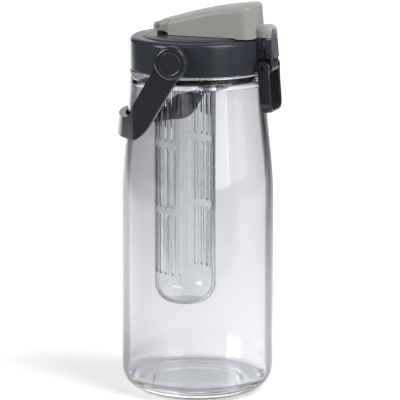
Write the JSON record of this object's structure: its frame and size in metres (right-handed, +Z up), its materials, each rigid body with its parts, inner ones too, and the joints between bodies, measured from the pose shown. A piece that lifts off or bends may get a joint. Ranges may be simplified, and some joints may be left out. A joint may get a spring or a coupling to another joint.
{
  "type": "infuser pitcher",
  "caption": "Clear plastic infuser pitcher with a screw lid, spring flip cover over a pour spout, rocker latch with a lock loop, swing carry handle and hanging slotted infuser tube.",
  "frame": {"origin": "centre of the circle that the bottle stands on, on the bottle's axis", "axes": "+Z up along the bottle's axis, +X from the cover's hinge towards the latch, +Y along the handle's pivot axis"},
  "size_m": [0.1195, 0.1148, 0.2895],
  "materials": {
    "clear_plastic": "clear moulded plastic, polished",
    "lid_plastic": "dark blue-grey moulded plastic, satin",
    "handle_plastic": "charcoal moulded plastic, satin",
    "cover_plastic": "warm light grey moulded plastic, satin",
    "button_plastic": "blue-grey moulded plastic, satin",
    "silicone": "milky silicone",
    "steel": "stainless wire and pin steel"
  },
  "bodies": {
    "bottle": {"bottle_body": "clear_plastic"},
    "gasket": {"lid_gasket": "silicone"},
    "lid": {"lid_body": "lid_plastic", "hinge_pin": "steel", "hinge_spring": "steel", "button_pin": "steel", "button_spring": "steel", "lock_pin": "steel", "handle_washer_left": "steel", "handle_screw_left": "steel", "handle_washer_right": "steel", "handle_screw_right": "steel"},
    "cover": {"flip_cover": "cover_plastic", "cover_seal": "silicone"},
    "button": {"release_button": "button_plastic"},
    "loop": {"lock_loop": "handle_plastic"},
    "handle": {"carry_handle": "handle_plastic", "handle_cap_left": "handle_plastic", "handle_cap_right": "handle_plastic"},
    "infuser": {"infuser_basket": "clear_plastic"}
  },
  "joints": [
    {"name": "lid_lift", "type": "slide", "parent": "bottle", "child": "gasket", "axis": [0, 0, 1], "range_m": [0, 0.0063]},
    {"name": "lid_turn", "type": "hinge", "parent": "gasket", "child": "lid", "pos_m": [0, 0, 0.25], "axis": [0, 0, 1], "range_deg": [0, 450]},
    {"name": "cover_flip", "type": "hinge", "parent": "lid", "child": "cover", "pos_m": [-0.0256, 0, 0.2706], "axis": [0, -1, 0], "range_deg": [0, 115]},
    {"name": "button_press", "type": "hinge", "parent": "lid", "child": "button", "pos_m": [0.0539, 0, 0.2607], "axis": [0, 1, 0], "range_deg": [0, 5], "stiffness_Nm_per_rad": 0.3, "springref_deg": -2.86, "deforming": ["button_spring"]},
    {"name": "loop_swing", "type": "hinge", "parent": "lid", "child": "loop", "pos_m": [0.0548, 0, 0.2435], "axis": [0, -1, 0], "range_deg": [0, 176]},
    {"name": "handle_swing", "type": "hinge", "parent": "lid", "child": "handle", "pos_m": [0, 0, 0.2504], "axis": [0, 1, 0], "range_deg": [0, 230]},
    {"name": "infuser_twist", "type": "hinge", "parent": "lid", "child": "infuser", "pos_m": [-0.0095, 0, 0.2], "axis": [0, 0, 1], "range_deg": [0, 40]}
  ],
  "couplings": [
    {"joint": "lid_lift", "follows": "lid_turn", "m_per_rad": 0.00079577}
  ]
}
